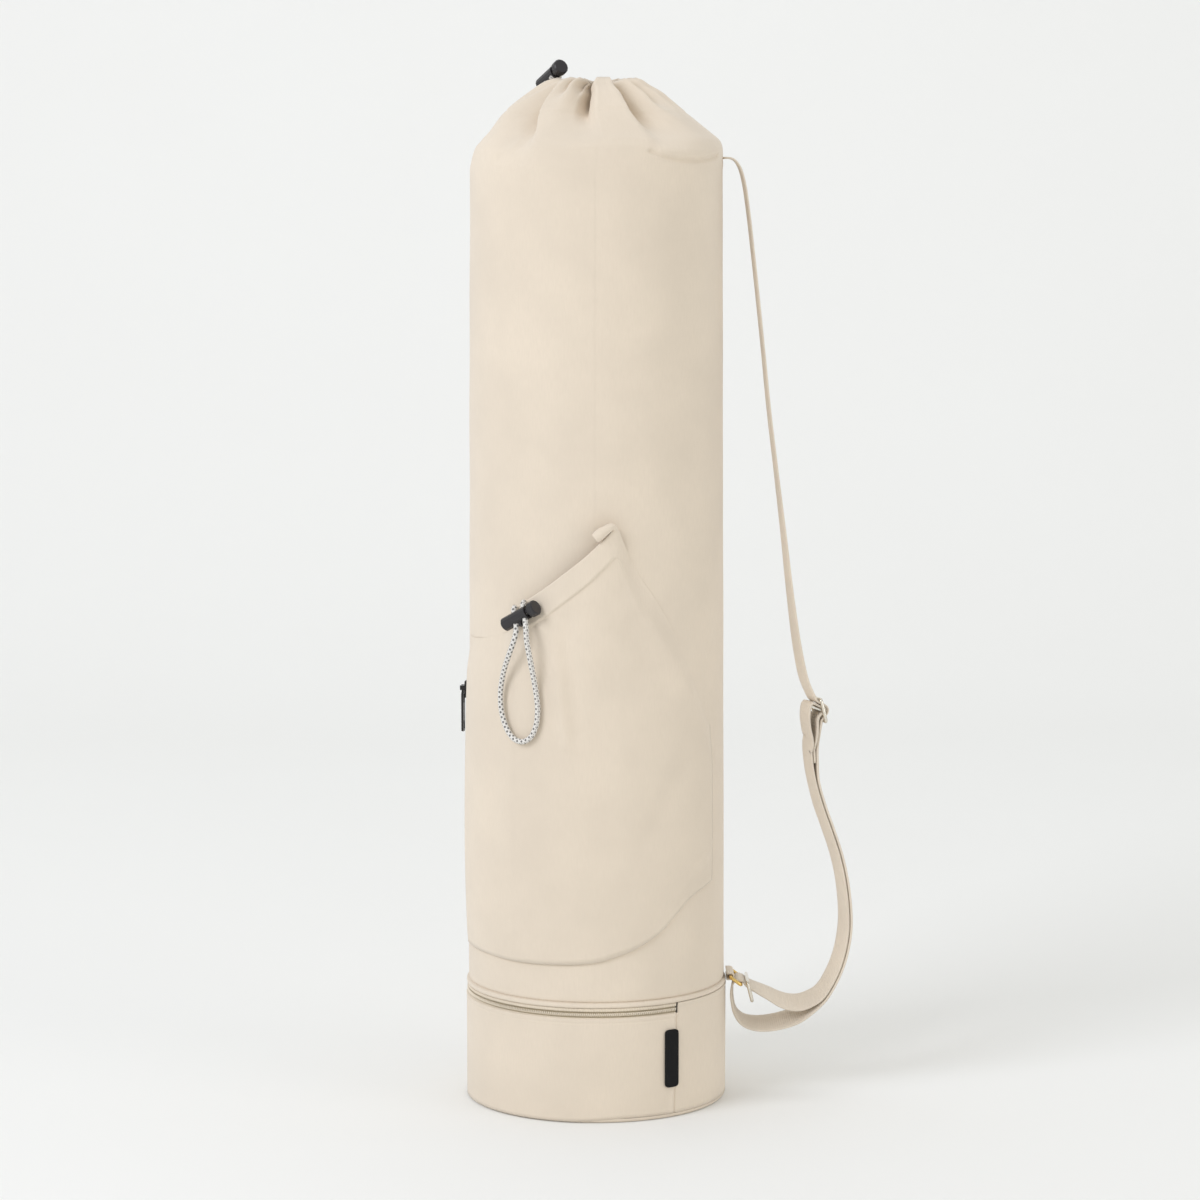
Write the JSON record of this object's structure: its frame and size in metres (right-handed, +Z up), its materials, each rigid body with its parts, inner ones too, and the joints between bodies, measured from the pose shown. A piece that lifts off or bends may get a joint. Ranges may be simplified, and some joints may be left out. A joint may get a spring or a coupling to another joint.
{
  "type": "yoga mat bag",
  "caption": "Tall beige cloth tube bag for a rolled yoga mat, with a gathered neck, a zipped base, a patch pocket and a shoulder strap.",
  "frame": {"origin": "middle of the flat bottom face", "axes": "+Z up along the bag, the front with the pocket faces -Y, the strap is on the +X side"},
  "size_m": [0.2742, 0.1899, 0.7186],
  "materials": {
    "canvas": "matte",
    "webbing": "matte",
    "zip_tape": "matte",
    "black_plastic": "satin",
    "black_metal": "satin",
    "gold_metal": "polished",
    "silver_metal": "polished",
    "braid": "satin",
    "black_label": "matte"
  },
  "bodies": {
    "bag": {"body_tube": "canvas", "base_wall": "canvas", "base_panel": "canvas", "base_zip": "zip_tape", "base_zip_slider": "black_metal", "side_zip": "zip_tape", "side_zip_slider": "black_metal", "pocket_panel": "canvas", "pocket_lock_sleeve": "black_plastic", "pocket_cord": "braid", "neck_lock_sleeve": "black_plastic", "neck_cord": "braid", "label_tab": "black_label", "shoulder_strap": "webbing", "strap_slider": "silver_metal", "ring_tab": "webbing", "anchor_ring": "gold_metal", "loose_ring": "silver_metal"},
    "pocket_button": {"pocket_lock_button": "black_plastic"},
    "neck_button": {"neck_lock_button": "black_plastic"},
    "side_puller": {"side_zip_puller": "black_metal"}
  },
  "joints": [
    {"name": "pocket_lock_press", "type": "slide", "parent": "bag", "child": "pocket_button", "axis": [-0.7285, 0.4988, -0.4695], "range_m": [0, 0.0022], "stiffness_N_per_m": 300, "springref_m": -0.002},
    {"name": "neck_lock_press", "type": "slide", "parent": "bag", "child": "neck_button", "axis": [-0.4801, 0.7701, -0.4201], "range_m": [0, 0.0022], "stiffness_N_per_m": 300, "springref_m": -0.002},
    {"name": "side_puller_swing", "type": "hinge", "parent": "bag", "child": "side_puller", "pos_m": [-0.09318, 0.01643, 0.2843], "axis": [0.1736, 0.9848, 0], "range_deg": [0, 150]}
  ]
}
